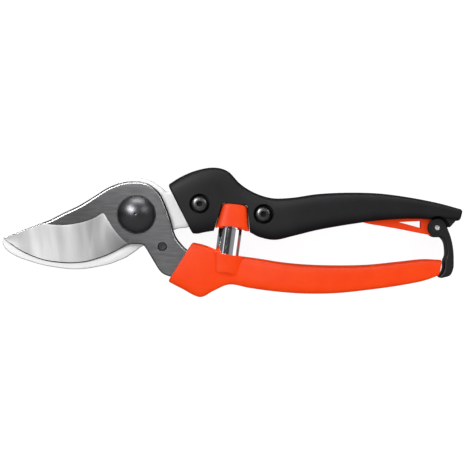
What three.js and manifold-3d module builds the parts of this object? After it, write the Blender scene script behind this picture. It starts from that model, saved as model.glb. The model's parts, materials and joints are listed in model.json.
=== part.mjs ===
// Bypass pruning shears, lying flat and latched closed.
// Millimetres, +Z up. The blades' pivot axis is the Z axis, the tip points to -X,
// the handles run to +X, and z = 0 is the surface that the shears lie on.
import * as THREE from 'three';
import { mergeVertices } from 'three/addons/utils/BufferGeometryUtils.js';
import Module from 'manifold-3d';

const wasm = await Module();
wasm.setup();

// ---- Driving dimensions ----------------------------------------------------------------

const PLAY = 0.1;                // between flat faces that slide on each other
const GAP = 0.3;                 // between pieces that are moulded or pressed together
const THROUGH = 40;              // longer than any piece is thick, for cuts that go right through

// The pivot stack, from the rest plane upwards.
const NUT_HEIGHT = 4.0;
const NUT_FLATS = 13;
const SPRING_WASHER_THICKNESS = 0.6;
const COUNTER_BLADE_REAR = 4.8;
const COUNTER_BLADE_THICKNESS = 4.0;
const CUTTING_BLADE_THICKNESS = 3.2;
const PIVOT_WASHER_THICKNESS = 0.8;
const DOME_HEIGHT = 4.2;
const BOLT_RADIUS = 4.0;
const DOME_RADIUS = 8.5;
const PIVOT_WASHER_RADIUS = 8.95;

const COUNTER_BLADE_FRONT = COUNTER_BLADE_REAR + COUNTER_BLADE_THICKNESS;
const CUTTING_BLADE_REAR = COUNTER_BLADE_FRONT + PLAY;
const CUTTING_BLADE_FRONT = CUTTING_BLADE_REAR + CUTTING_BLADE_THICKNESS;
const PIVOT_WASHER_REAR = CUTTING_BLADE_FRONT + PLAY;
const DOME_REAR = PIVOT_WASHER_REAR + PIVOT_WASHER_THICKNESS + PLAY;

// The cutting edge is not ground to nothing: this much steel is left standing.
const EDGE_THICKNESS = 0.3;
const EDGE_LAND = 0.35;
const TIP_THICKNESS = 0.9;

const STOP_PIN = { x: 12.2, y: -15.1, radius: 2.0 };

// Handles: both are mirrored about this height and 17.7 thick at the swell.
const HANDLE_MIDDLE = 8.85;
const EDGE_ROUND = 0.9;          // how far the two end faces are rounded in at their rims
const FACE_ROUND = [0.004, 0.012];  // where that rounding runs, as shares of the length
const TAIL_ROUND = [0.012, 0.004];
const GRIP_WALL = 2.0;           // black cover over the orange core
const HANDLE_ROUNDNESS = 0.42;   // 1 would make the section an ellipse, 0 a box

// The spring's housing on the upper handle, at its closed top and at its mouth.
const HOUSING_HALF_WIDTHS = [6.0, 8.05];
const HOUSING_HALF_HEIGHTS = [8.1, 8.7];
const HOUSING_ROUNDNESS = 0.5;
const FRONT_SCREW = { x: 29.6, y: 4.7 };
const REAR_SCREW = { x: 59.2, y: -0.1 };
const SCREW_RADIUS = 2.0;
const SCREW_HEAD_RADIUS = 3.8;
const SCREW_HEAD_HEIGHT = 2.2;
const SCREW_RECESS_RADIUS = 4.55;
const SCREW_SEAT = 13.2;
const SCREW_NUT_SEAT = 3.6;
const SCREW_NUT_HEIGHT = 2.2;
const SCREW_NUT_FLATS = 7;

// Volute spring: a strip wound on a cone, its wide end in the lower handle.
const SPRING_BOTTOM = new THREE.Vector3(41.5, -25.6, HANDLE_MIDDLE);
const SPRING_TOP = new THREE.Vector3(45.3, 2.0, HANDLE_MIDDLE);
const SPRING_RADIUS = 6.0;
const SPRING_TURNS = 5;
const SPRING_RADIAL_PITCH = 0.85;
const STRIP_THICKNESS = 0.6;
const STRIP_WIDTH = 19;
const SPRING_BORE = 6.35;
const HOUSING_BORE = [6.5, 5.8];   // in the housing: at the mouth and at the closed end

// Latch: a fork on a cross pin through the tail of the upper handle.
const LATCH_PIN = { x: 139.8, y: -6.4, radius: 1.2 };
const LATCH_BOSS_RADIUS = 4.4;
const LATCH_RECESS_RADIUS = 5.5;
const LATCH_DEPTH = 11.6;
const WEB_THICKNESS = 6.0;
const LATCH_SLOT_RADIUS = 5.3;

// ---- Helpers ---------------------------------------------------------------------------

function solidOf(geometry) {
  const bare = geometry.clone();
  bare.deleteAttribute('normal');
  bare.deleteAttribute('uv');
  const merged = mergeVertices(bare, 1e-4);
  const index = merged.index.array;
  const triangles = [];
  for (let i = 0; i < index.length; i += 3) {
    const [a, b, c] = [index[i], index[i + 1], index[i + 2]];
    if (a !== b && b !== c && c !== a) triangles.push(a, b, c);
  }
  return new wasm.Manifold(new wasm.Mesh({
    numProp: 3,
    vertProperties: new Float32Array(merged.attributes.position.array),
    triVerts: new Uint32Array(triangles),
  }));
}

function geometryOf(solid) {
  const mesh = solid.getMesh();
  const geometry = new THREE.BufferGeometry();
  geometry.setAttribute('position', new THREE.BufferAttribute(new Float32Array(mesh.vertProperties), 3));
  geometry.setIndex(new THREE.BufferAttribute(new Uint32Array(mesh.triVerts), 1));
  geometry.computeVertexNormals();
  return geometry;
}

// An outline made of runs: two points make a straight edge, more make a smooth curve.
// Each run starts where the one before it ends.
function outlinePoints(runs, step = 2.4) {
  const points = [];
  for (const run of runs) {
    const corners = run.map(([x, y]) => new THREE.Vector2(x, y));
    if (corners.length === 2) {
      points.push(corners[0]);
      continue;
    }
    const curve = new THREE.SplineCurve(corners);
    const spans = Math.ceil(curve.getLength() / step);
    points.push(...curve.getSpacedPoints(spans).slice(0, -1));
  }
  return points;
}

// Moves every point of a closed outline outwards along its own normal.
function grown(points, margin) {
  const turn = Math.sign(THREE.ShapeUtils.area(points));
  return points.map((point, i) => {
    const before = points[(i + points.length - 1) % points.length];
    const after = points[(i + 1) % points.length];
    const along = after.clone().sub(before).normalize();
    return new THREE.Vector2(point.x + turn * along.y * margin, point.y - turn * along.x * margin);
  });
}

function plate(points, low, high) {
  const geometry = new THREE.ExtrudeGeometry(new THREE.Shape(points), { depth: high - low, bevelEnabled: false });
  return solidOf(geometry.translate(0, 0, low));
}

// A rod along Z.
function rod(x, y, radius, low, high, sides = 24) {
  const geometry = new THREE.CylinderGeometry(radius, radius, high - low, sides);
  geometry.rotateX(Math.PI / 2);
  return solidOf(geometry.translate(x, y, (low + high) / 2));
}

// A piece turned about the Z axis through (x, y); the profile is a list of [radius, height].
function turned(x, y, profile, sides = 40) {
  const points = profile.map(([radius, height]) => new THREE.Vector2(radius, height));
  const geometry = new THREE.LatheGeometry(points, sides);
  geometry.rotateX(Math.PI / 2);
  const solid = solidOf(geometry.translate(x, y, 0));
  if (solid.volume() > 0) return solid;
  geometry.index.array.reverse();
  return solidOf(geometry);
}

// A skin over a row of rings that have the same number of points, closed by a fan at each end.
function loft(rings) {
  const count = rings[0].length;
  const points = rings.flat();
  const index = [];
  for (let i = 0; i + 1 < rings.length; i += 1) {
    for (let j = 0; j < count; j += 1) {
      const a = i * count + j;
      const b = i * count + (j + 1) % count;
      index.push(a, b, b + count, a, b + count, a + count);
    }
  }
  for (const [ring, flip] of [[0, true], [rings.length - 1, false]]) {
    const middle = new THREE.Vector3();
    rings[ring].forEach((point) => middle.addScaledVector(point, 1 / count));
    const hub = points.push(middle) - 1;
    for (let j = 0; j < count; j += 1) {
      const a = ring * count + j;
      const b = ring * count + (j + 1) % count;
      index.push(...(flip ? [b, a, hub] : [a, b, hub]));
    }
  }
  const geometry = new THREE.BufferGeometry().setFromPoints(points);
  geometry.setIndex(index);
  const solid = solidOf(geometry);
  if (solid.volume() > 0) return solid;
  index.reverse();
  return solidOf(geometry.setIndex(index));
}

// A cosine or sine softened towards a box: a power of 1 keeps it round, 0 makes it square.
function soft(value, power) {
  return Math.sign(value) * Math.abs(value) ** power;
}

// A handle's body: at each station a rounded slab is stretched from a lower to an upper point.
// inset shrinks the whole body evenly, which gives the core inside a cover.
function handleBody(stations, inset = 0, sides = 20) {
  const spans = 32;
  const upper = new THREE.CatmullRomCurve3(stations.map(([x, y]) => new THREE.Vector3(x, y, 0)), false, 'centripetal');
  const lower = new THREE.CatmullRomCurve3(stations.map(([, , x, y]) => new THREE.Vector3(x, y, 0)), false, 'centripetal');
  const thick = new THREE.SplineCurve(stations.map(([, , , , half], i) => new THREE.Vector2(i, half)));
  const places = Array.from({ length: spans + 1 }, (_, i) => i / spans);
  places.splice(1, 0, FACE_ROUND[0], FACE_ROUND[1]);
  places.splice(-1, 0, 1 - TAIL_ROUND[0], 1 - TAIL_ROUND[1]);
  const rings = [];
  for (const t of places) {
    const top = upper.getPoint(t);
    const bottom = lower.getPoint(t);
    const middle = top.clone().add(bottom).multiplyScalar(0.5);
    const across = top.clone().sub(bottom).multiplyScalar(0.5);
    const width = across.length();
    across.normalize();
    const half = thick.getPoint(t).y;
    const faceDrop = EDGE_ROUND * Math.max(0, 1 - t / FACE_ROUND[1]) ** 2;
    const tailDrop = EDGE_ROUND * Math.max(0, 1 - (1 - t) / TAIL_ROUND[0]) ** 2;
    const shrink = inset + faceDrop + tailDrop;
    const ring = [];
    for (let j = 0; j < sides; j += 1) {
      const angle = (j / sides) * 2 * Math.PI;
      const point = middle.clone();
      point.addScaledVector(across, soft(Math.cos(angle), HANDLE_ROUNDNESS) * (width - shrink));
      point.z = HANDLE_MIDDLE + soft(Math.sin(angle), HANDLE_ROUNDNESS) * (half - shrink);
      ring.push(point);
    }
    rings.push(ring);
  }
  return rings;
}

// A straight taper between two points, upright along Z. Its section is an oval when roundness
// is 1 and squarer below that; endRound rounds off the first end.
function taper(from, to, [wideFrom, highFrom], [wideTo, highTo], roundness = 1, endRound = 0) {
  const sides = 24;
  const along = to.clone().sub(from).normalize();
  const sideways = new THREE.Vector3(0, 0, 1).cross(along).normalize();
  const ringAt = (centre, wide, high) => Array.from({ length: sides }, (_, j) => {
    const angle = (j / sides) * 2 * Math.PI;
    return centre.clone()
      .addScaledVector(sideways, soft(Math.cos(angle), roundness) * wide)
      .add(new THREE.Vector3(0, 0, soft(Math.sin(angle), roundness) * high));
  });
  const rings = [ringAt(from, wideFrom - endRound, highFrom - endRound)];
  if (endRound > 0) {
    rings.push(ringAt(from.clone().addScaledVector(along, 0.3 * endRound), wideFrom - 0.3 * endRound,
      highFrom - 0.3 * endRound));
    rings.push(ringAt(from.clone().addScaledVector(along, endRound), wideFrom, highFrom));
  }
  rings.push(ringAt(to, wideTo, highTo));
  return loft(rings);
}

// A hexagonal nut about the Z axis through (x, y).
function hexNut(x, y, flats, bore, low, high) {
  return rod(x, y, flats / Math.sqrt(3), low, high, 6).subtract(rod(x, y, bore, low - 1, high + 1));
}

// ---- Blades ----------------------------------------------------------------------------

// The cutting blade's tang passes under the spring's seat in the lower handle.
const tangUpperEdge = [
  [[23.5, -16.3], [29.0, -18.2]],
  [[29.0, -18.2], [34.6, -27.6]],
  [[34.6, -27.6], [60.0, -27.4]],
];

const cuttingEdge = [[-6.4, -15.6], [-12.4, -18.6], [-21.8, -21.8], [-31.1, -22.8],
  [-40.5, -22.0], [-50.3, -19.0], [-57.5, -14.9], [-62.0, -11.4]];

function cuttingBlade() {
  const points = outlinePoints([
    [[-62.0, -11.4], [-52.6, -7.4], [-40.4, -2.7], [-26.4, 4.2], [-12.4, 12.6], [-7.8, 14.4], [0, 15.4],
      [6.4, 13.8], [10.9, 9.8], [13.4, 4.6], [16.0, -2.2], [17.4, -7.6], [19.2, -11.6], [23.5, -16.3]],
    ...tangUpperEdge,
    [[60.0, -27.4], [60.0, -31.2]],
    [[60.0, -31.2], [28.0, -31.8]],
    [[28.0, -31.8], [15.4, -28.9]],
    [[15.4, -28.9], [11.8, -27.2], [7.9, -21.5], [3.3, -14.4]],
    [[3.3, -14.4], [1.4, -14.0]],
    [[1.4, -14.0], [-3.0, -14.0]],
    [[-3.0, -14.0], [-6.4, -15.6]],
    cuttingEdge,
  ]);
  return plate(points, CUTTING_BLADE_REAR, CUTTING_BLADE_FRONT)
    .subtract(bevelCutter())
    .subtract(rod(0, 0, BOLT_RADIUS + PLAY, 0, THROUGH))
    .subtract(rod(STOP_PIN.x, STOP_PIN.y, STOP_PIN.radius + PLAY, 0, THROUGH));
}

// What the grinding wheel takes off: a ruled face from the cutting edge up to the line
// where the bevel meets the flat of the blade. At the tip that line is the spine itself.
function bevelCutter() {
  const stations = [
    // edge x, y, then bevel line x, y
    [-63.6, -12.4, -63.2, -10.2],
    [-57.5, -14.9, -55.5, -8.3],
    [-52.0, -18.2, -49.0, -6.1],
    [-46.0, -20.6, -42.5, -4.2],
    [-40.5, -22.0, -37.0, -5.0],
    [-34.0, -22.7, -30.0, -4.8],
    [-27.0, -22.6, -22.5, -2.9],
    [-20.0, -21.3, -15.3, 0.3],
    [-15.0, -19.7, -12.8, -3.2],
    [-10.5, -17.6, -9.4, -8.2],
    [-7.8, -16.3, -5.6, -12.3],
    [-6.2, -15.5, -3.2, -14.0],
  ];
  const reach = 2.0;
  const rings = stations.map(([edgeX, edgeY, lineX, lineY], i) => {
    const along = new THREE.Vector2(lineX - edgeX, lineY - edgeY);
    const width = along.length();
    along.normalize();
    const tipShare = Math.max(0, 1 - i / 3);
    const rise = THREE.MathUtils.lerp(CUTTING_BLADE_THICKNESS, TIP_THICKNESS, tipShare) - EDGE_THICKNESS;
    const slope = rise / width;
    const past = width + (0.8 + CUTTING_BLADE_THICKNESS - EDGE_THICKNESS - rise) / slope;
    const low = CUTTING_BLADE_REAR + EDGE_THICKNESS;
    const at = (distance, height) => new THREE.Vector3(
      edgeX + along.x * distance, edgeY + along.y * distance, height,
    );
    return [
      at(-reach, low),
      at(EDGE_LAND, low),
      at(past, low + slope * past),
      at(past, CUTTING_BLADE_FRONT + 6),
      at(-reach, CUTTING_BLADE_FRONT + 6),
    ];
  });
  return loft(rings);
}

const counterTang = [[14.6, 10.4], [20, 10.6], [30, 11.4], [38, 11.8], [45, 11.0], [51, 8.2], [57, 5.2], [63.5, 3.4],
  [65.6, 0], [63.5, -4.0], [57, -4.4], [54.6, -0.5], [52.2, 3.8], [46, 5.0], [38, 5.0], [34.6, 1.0],
  [30, -3.2], [24, -6.0], [17.9, -7.1]];

function counterBlade() {
  const points = outlinePoints([
    [[-62.0, -10.9], [-62.6, -13.0], [-61.1, -16.3], [-56.7, -19.4], [-49.5, -22.1], [-41.5, -24.2],
      [-31.1, -25.6], [-21.8, -25.2], [-12.4, -23.2], [-5.4, -20.4], [-0.3, -17.0]],
    [[-0.3, -17.0], [2.3, -15.1]],
    [[2.3, -15.1], [7.4, -13.4], [12.0, -9.6], [17.9, -7.1]],
    [...counterTang].reverse(),
    [[14.6, 10.4], [11.4, 12.6], [6.6, 15.6], [0, 17.0], [-6.0, 15.9], [-11.6, 11.6], [-14.4, 5.0],
      [-14.0, -4.0], [-15.4, -11.0], [-20.0, -16.4], [-27.0, -19.0], [-36.0, -19.2],
      [-44.5, -17.4], [-52.5, -14.6], [-62.0, -10.9]],
  ]);
  return plate(points, COUNTER_BLADE_REAR, COUNTER_BLADE_FRONT)
    .subtract(rod(0, 0, BOLT_RADIUS + PLAY, 0, THROUGH))
    .subtract(rod(FRONT_SCREW.x, FRONT_SCREW.y, SCREW_RADIUS + GAP, 0, THROUGH, 20))
    .subtract(rod(REAR_SCREW.x, REAR_SCREW.y, SCREW_RADIUS + GAP, 0, THROUGH, 20));
}

// ---- Pivot hardware --------------------------------------------------------------------

function pivotBolt() {
  const dome = [];
  const steps = 8;
  const dimple = 1.0;
  for (let i = 0; i <= steps; i += 1) {
    const angle = (i / steps) * (Math.PI / 2);
    const radius = DOME_RADIUS - (DOME_RADIUS - dimple) * Math.sin(angle) * (i / steps);
    dome.push([radius, DOME_REAR + 0.6 + (DOME_HEIGHT - 0.6) * Math.sin(angle)]);
  }
  return turned(0, 0, [
    [0, 0],
    [BOLT_RADIUS, 0],
    [BOLT_RADIUS, DOME_REAR],
    [DOME_RADIUS, DOME_REAR],
    ...dome,
    [0, DOME_REAR + DOME_HEIGHT - 0.5],
  ], 48);
}

function pivotWasher() {
  const low = PIVOT_WASHER_REAR;
  const high = low + PIVOT_WASHER_THICKNESS;
  return rod(0, 0, PIVOT_WASHER_RADIUS, low, high, 48).subtract(rod(0, 0, BOLT_RADIUS + PLAY, 0, THROUGH));
}

function pivotSpringWasher() {
  const low = NUT_HEIGHT + PLAY;
  const high = low + SPRING_WASHER_THICKNESS;
  return rod(0, 0, 7.6, low, high, 40).subtract(rod(0, 0, BOLT_RADIUS + 0.2, 0, THROUGH));
}

function stopPin() {
  return turned(STOP_PIN.x, STOP_PIN.y, [
    [0, COUNTER_BLADE_REAR + 0.4],
    [STOP_PIN.radius - 0.3, COUNTER_BLADE_REAR + 0.4],
    [STOP_PIN.radius, COUNTER_BLADE_REAR + 0.7],
    [STOP_PIN.radius, CUTTING_BLADE_FRONT],
    [0, CUTTING_BLADE_FRONT],
  ], 24);
}

// ---- Upper handle: orange core, black cover, screws -------------------------------------

// Each station is the upper point x, y, the lower point x, y, and half the thickness there.
const upperStations = [
  [14.8, 13.6, 26.2, -9.0, 7.0],
  [20.3, 17.1, 28.6, -9.1, 7.4],
  [27.5, 20.2, 32.0, -8.4, 7.6],
  [36.0, 21.7, 38.0, -7.6, 7.4],
  [42.6, 20.0, 45.0, -7.6, 7.2],
  [48.6, 14.0, 51.6, -8.0, 7.4],
  [55.0, 10.0, 57.4, -10.7, 7.9],
  [63.0, 7.5, 64.6, -12.0, 8.4],
  [72.0, 7.6, 73.0, -10.2, 8.8],
  [84.0, 9.3, 84.0, -7.5, 8.85],
  [98.0, 10.0, 98.0, -5.0, 8.7],
  [113.0, 9.6, 112.0, -3.1, 8.4],
  [128.0, 7.6, 127.0, -2.2, 8.0],
  [141.0, 5.0, 140.0, -2.6, 7.6],
  [151.6, 2.1, 150.2, -3.2, 7.2],
];

const coneTop = new THREE.Vector3(46.0, 4.6, HANDLE_MIDDLE);
const coneMouth = new THREE.Vector3(44.7, -7.2, HANDLE_MIDDLE);

const tailWeb = [
  [[100.0, 2.0], [143.6, 0.8]],
  [[143.6, 0.8], [143.8, -4.4], [142.9, -8.6], [139.8, -10.2], [136.4, -9.6]],
  [[136.4, -9.6], [123.0, -6.9]],
  [[123.0, -6.9], [107.0, -4.1]],
  [[107.0, -4.1], [100.0, -2.0]],
  [[100.0, -2.0], [100.0, 2.0]],
];
// A wedge under the tail, behind the latch: the latch's back meets it when the latch is out.
const tailWedge = [[142.6, -1.0], [145.5, -6.1], [148.0, -3.3], [149.0, -1.0]];
const tailWindow = [[122.3, -3.7], [132.6, -3.2], [132.6, -6.5]];

// The core's ring stations stop short of the cover's two ends, so that the cover closes over them.
function coreRings(margin) {
  return handleBody(upperStations, GRIP_WALL - margin).slice(4, -5);
}

function springHousing(margin) {
  const [topWide, mouthWide] = HOUSING_HALF_WIDTHS;
  const [topHigh, mouthHigh] = HOUSING_HALF_HEIGHTS;
  return taper(coneTop, coneMouth, [topWide + margin, topHigh + margin], [mouthWide + margin, mouthHigh + margin],
    HOUSING_ROUNDNESS, 1.2);
}

// The opening in the cover, front and rear, that shows the housing at its full width.
function housingWindow() {
  const along = coneMouth.clone().sub(coneTop).normalize();
  const side = new THREE.Vector3(-along.y, along.x, 0);
  const [topWide, mouthWide] = HOUSING_HALF_WIDTHS;
  const past = 2;
  const slope = (mouthWide - topWide) / coneMouth.distanceTo(coneTop);
  const corner = (centre, reach, wide) => {
    const point = centre.clone().addScaledVector(along, reach).addScaledVector(side, wide);
    return new THREE.Vector2(point.x, point.y);
  };
  return plate([
    corner(coneTop, 1.1, topWide + GAP),
    corner(coneTop, -GAP, topWide - 0.9),
    corner(coneTop, -GAP, 0.9 - topWide),
    corner(coneTop, 1.1, -topWide - GAP),
    corner(coneMouth, past, -mouthWide - GAP - slope * past),
    corner(coneMouth, past, mouthWide + GAP + slope * past),
  ], -1, THROUGH);
}

function webSolid(margin) {
  const points = grown(outlinePoints(tailWeb), margin);
  const half = WEB_THICKNESS / 2 + margin;
  return plate(points, HANDLE_MIDDLE - half, HANDLE_MIDDLE + half);
}

// Where the core is: the moulding itself with no margin, the space cut for it with one.
function coreEnvelope(margin) {
  return loft(coreRings(margin)).add(springHousing(margin)).add(webSolid(margin));
}

function tangSlot() {
  const points = grown(outlinePoints([counterTang, [[17.9, -7.1], [14.6, 10.4]]]), GAP);
  return plate(points, COUNTER_BLADE_REAR - GAP, COUNTER_BLADE_FRONT + GAP);
}

function springBore() {
  const along = SPRING_BOTTOM.clone().sub(SPRING_TOP).normalize();
  return taper(SPRING_TOP.clone().addScaledVector(along, -0.5), SPRING_TOP.clone().addScaledVector(along, 15),
    [HOUSING_BORE[1], HOUSING_BORE[1]], [HOUSING_BORE[0], HOUSING_BORE[0]]);
}

// Screw holes, with the sunk seats for the heads in front and the nuts behind.
function screwCuts() {
  let cuts = null;
  for (const { x, y } of [FRONT_SCREW, REAR_SCREW]) {
    const cut = rod(x, y, SCREW_RADIUS + PLAY, -1, THROUGH, 24)
      .add(rod(x, y, SCREW_RECESS_RADIUS, SCREW_SEAT, THROUGH))
      .add(rod(x, y, SCREW_RECESS_RADIUS, -1, SCREW_NUT_SEAT));
    cuts = cuts ? cuts.add(cut) : cut;
  }
  return cuts;
}

function upperCore() {
  const window = plate(tailWindow.map(([x, y]) => new THREE.Vector2(x, y)), 0, THROUGH);
  return coreEnvelope(0)
    .subtract(tangSlot())
    .subtract(springBore())
    .subtract(screwCuts())
    .subtract(window)
    .subtract(rod(LATCH_PIN.x, LATCH_PIN.y, LATCH_PIN.radius + PLAY, 0, THROUGH, 24));
}

function upperGrip() {
  const half = WEB_THICKNESS / 2 + GAP;
  const { x, y } = LATCH_PIN;
  const latchRecess = rod(x, y, LATCH_RECESS_RADIUS, HANDLE_MIDDLE + half, THROUGH)
    .add(rod(x, y, LATCH_RECESS_RADIUS, -1, HANDLE_MIDDLE - half));
  return loft(handleBody(upperStations))
    .add(plate(tailWedge.map(([px, py]) => new THREE.Vector2(px, py)), HANDLE_MIDDLE - 6.6, HANDLE_MIDDLE + 6.6))
    .subtract(coreEnvelope(GAP))
    .subtract(housingWindow())
    .subtract(tangSlot())
    .subtract(screwCuts())
    .subtract(latchRecess);
}

function handleScrew({ x, y }) {
  const top = SCREW_SEAT + PLAY + SCREW_HEAD_HEIGHT;
  const button = turned(x, y, [
    [0, SCREW_NUT_SEAT - SCREW_NUT_HEIGHT],
    [SCREW_RADIUS, SCREW_NUT_SEAT - SCREW_NUT_HEIGHT],
    [SCREW_RADIUS, SCREW_SEAT + PLAY],
    [SCREW_HEAD_RADIUS, SCREW_SEAT + PLAY],
    [SCREW_HEAD_RADIUS - 0.1, SCREW_SEAT + 0.7],
    [SCREW_HEAD_RADIUS - 0.8, top - 0.6],
    [SCREW_HEAD_RADIUS - 1.9, top],
    [0, top],
  ], 32);
  const socket = rod(x, y, 2.5 / Math.sqrt(3), top - 1.4, top + 1, 6);
  return button.subtract(socket);
}

function screwNut({ x, y }) {
  return hexNut(x, y, SCREW_NUT_FLATS, SCREW_RADIUS + PLAY,
    SCREW_NUT_SEAT - PLAY - SCREW_NUT_HEIGHT, SCREW_NUT_SEAT - PLAY);
}

// ---- Lower handle ----------------------------------------------------------------------

const lowerStations = [
  [26.2, -13.1, 14.8, -31.3, 6.6],
  [31.9, -14.4, 21.3, -34.7, 6.9],
  [37.5, -16.6, 29.8, -38.6, 6.9],
  [43.0, -18.7, 36.2, -35.6, 6.5],
  [49.0, -19.6, 43.2, -32.8, 6.4],
  [57.6, -20.8, 53.0, -34.4, 7.0],
  [67.0, -22.3, 64.0, -35.9, 7.9],
  [78.0, -23.4, 77.0, -36.9, 8.6],
  [92.0, -23.9, 92.0, -36.8, 8.85],
  [108.0, -23.6, 108.0, -35.2, 8.6],
  [123.0, -22.1, 123.0, -33.1, 8.0],
  [134.0, -21.0, 134.0, -30.9, 7.3],
  [142.0, -21.3, 140.6, -28.5, 6.6],
];

const lowerTang = [
  [[21.0, -13.6], [23.5, -16.3]],
  ...tangUpperEdge,
  [[60.0, -27.4], [60.0, -31.2]],
  [[60.0, -31.2], [28.0, -31.8]],
  [[28.0, -31.8], [15.4, -28.9]],
  [[15.4, -28.9], [12.0, -27.4]],
  [[12.0, -27.4], [21.0, -13.6]],
];

function lowerHandle() {
  const cupTop = new THREE.Vector3(43.0, -18.8, HANDLE_MIDDLE);
  const cupBottom = new THREE.Vector3(41.5, -28.2, HANDLE_MIDDLE);
  const along = SPRING_TOP.clone().sub(SPRING_BOTTOM).normalize();
  const bore = taper(SPRING_BOTTOM.clone().addScaledVector(along, -0.4), SPRING_BOTTOM.clone().addScaledVector(along, 20),
    [SPRING_BORE, SPRING_BORE], [SPRING_BORE, SPRING_BORE]);
  const tang = plate(grown(outlinePoints(lowerTang), GAP), CUTTING_BLADE_REAR - GAP, CUTTING_BLADE_FRONT + GAP);
  return loft(handleBody(lowerStations))
    .add(taper(cupBottom, cupTop, [5.6, 7.6], [7.2, 7.9], HOUSING_ROUNDNESS, 1.2))
    .subtract(bore)
    .subtract(tang);
}

// ---- Spring ----------------------------------------------------------------------------

function voluteSpring() {
  const along = SPRING_TOP.clone().sub(SPRING_BOTTOM);
  const length = along.length();
  along.normalize();
  const sideways = new THREE.Vector3(0, 0, 1).cross(along).normalize();
  const upright = new THREE.Vector3(0, 0, 1);
  const stepsPerTurn = 16;
  const steps = SPRING_TURNS * stepsPerTurn;
  const rings = [];
  for (let i = 0; i <= steps; i += 1) {
    const turn = i / stepsPerTurn;
    const angle = turn * 2 * Math.PI;
    const outward = sideways.clone().multiplyScalar(Math.cos(angle)).addScaledVector(upright, Math.sin(angle));
    const outer = SPRING_RADIUS - SPRING_RADIAL_PITCH * turn;
    const base = (turn / SPRING_TURNS) * (length - STRIP_WIDTH);
    const corner = (radius, height) => SPRING_BOTTOM.clone()
      .addScaledVector(along, base + height)
      .addScaledVector(outward, radius);
    rings.push([
      corner(outer, 0),
      corner(outer, STRIP_WIDTH),
      corner(outer - STRIP_THICKNESS, STRIP_WIDTH),
      corner(outer - STRIP_THICKNESS, 0),
    ]);
  }
  return loft(rings);
}

// ---- Latch -----------------------------------------------------------------------------

function latch() {
  const low = HANDLE_MIDDLE - LATCH_DEPTH / 2;
  const high = HANDLE_MIDDLE + LATCH_DEPTH / 2;
  const half = WEB_THICKNESS / 2 + GAP;
  const arm = outlinePoints([
    [[144.2, -5.4], [145.7, -9.6], [147.0, -14.8], [147.4, -21.0], [147.2, -25.6], [145.6, -28.6], [141.7, -29.8]],
    [[141.7, -29.8], [141.0, -28.9]],
    [[141.0, -28.9], [142.4, -27.4], [143.3, -25.0], [143.3, -21.4]],
    [[143.3, -21.4], [144.2, -19.6]],
    [[144.2, -19.6], [144.2, -15.8], [143.2, -12.4], [140.4, -9.6]],
    [[140.4, -9.6], [144.2, -5.4]],
  ]);
  return plate(arm, low, high)
    .add(rod(LATCH_PIN.x, LATCH_PIN.y, LATCH_BOSS_RADIUS, low, high, 40))
    .subtract(rod(LATCH_PIN.x, LATCH_PIN.y, LATCH_SLOT_RADIUS, HANDLE_MIDDLE - half, HANDLE_MIDDLE + half))
    .subtract(rod(LATCH_PIN.x, LATCH_PIN.y, LATCH_PIN.radius + PLAY, 0, THROUGH, 24));
}

// ---- The assembly ----------------------------------------------------------------------

const finishes = {
  bladeSteel: { color: 0x6b6b6b, roughness: 0.45, metalness: 1.0 },
  counterSteel: { color: 0xd8d8d6, roughness: 0.5, metalness: 1.0 },
  darkSteel: { color: 0x2f2f2f, roughness: 0.35, metalness: 1.0 },
  plainSteel: { color: 0xb0b0b0, roughness: 0.35, metalness: 1.0 },
  chrome: { color: 0xe8e8ea, roughness: 0.08, metalness: 1.0 },
  orangePlastic: { color: 0xff4a17, roughness: 0.45, metalness: 0.0 },
  blackRubber: { color: 0x26262a, roughness: 0.75, metalness: 0.0 },
  blackPlastic: { color: 0x1f1f22, roughness: 0.5, metalness: 0.0 },
};

const pieces = [
  ['cutting_blade', 'bladeSteel', cuttingBlade()],
  ['counter_blade', 'counterSteel', counterBlade()],
  ['pivot_bolt', 'darkSteel', pivotBolt()],
  ['pivot_washer', 'darkSteel', pivotWasher()],
  ['pivot_spring_washer', 'plainSteel', pivotSpringWasher()],
  ['pivot_nut', 'plainSteel', hexNut(0, 0, NUT_FLATS, BOLT_RADIUS + PLAY, 0, NUT_HEIGHT)],
  ['stop_pin', 'darkSteel', stopPin()],
  ['upper_handle_core', 'orangePlastic', upperCore()],
  ['upper_grip', 'blackRubber', upperGrip()],
  ['front_handle_screw', 'darkSteel', handleScrew(FRONT_SCREW)],
  ['rear_handle_screw', 'darkSteel', handleScrew(REAR_SCREW)],
  ['front_screw_nut', 'plainSteel', screwNut(FRONT_SCREW)],
  ['rear_screw_nut', 'plainSteel', screwNut(REAR_SCREW)],
  ['volute_spring', 'chrome', voluteSpring()],
  ['lower_handle', 'orangePlastic', lowerHandle()],
  ['latch', 'blackPlastic', latch()],
  ['latch_pin', 'plainSteel', rod(LATCH_PIN.x, LATCH_PIN.y, LATCH_PIN.radius,
    HANDLE_MIDDLE - LATCH_DEPTH / 2 - 0.2, HANDLE_MIDDLE + LATCH_DEPTH / 2 + 0.2, 24)],
];

const shears = new THREE.Group();
for (const [name, finish, solid] of pieces) {
  const mesh = new THREE.Mesh(geometryOf(solid), new THREE.MeshStandardMaterial(finishes[finish]));
  mesh.name = name;
  shears.add(mesh);
}

export default shears;
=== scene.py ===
# %% [markdown]
# # Bypass pruning shears in Blender
# The shears lie on a pale table, latched closed. The engineering model gives the places, the
# sizes and the joints; this lesson makes the surfaces that show: ground steel, moulded nylon,
# a soft black cover and a chromed spring. Each shape is a surface worked out with numpy: a
# section stretched between two rails, a profile turned about an axis, or a strip along a path.

# %% Load the frame
import json
import math

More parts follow.
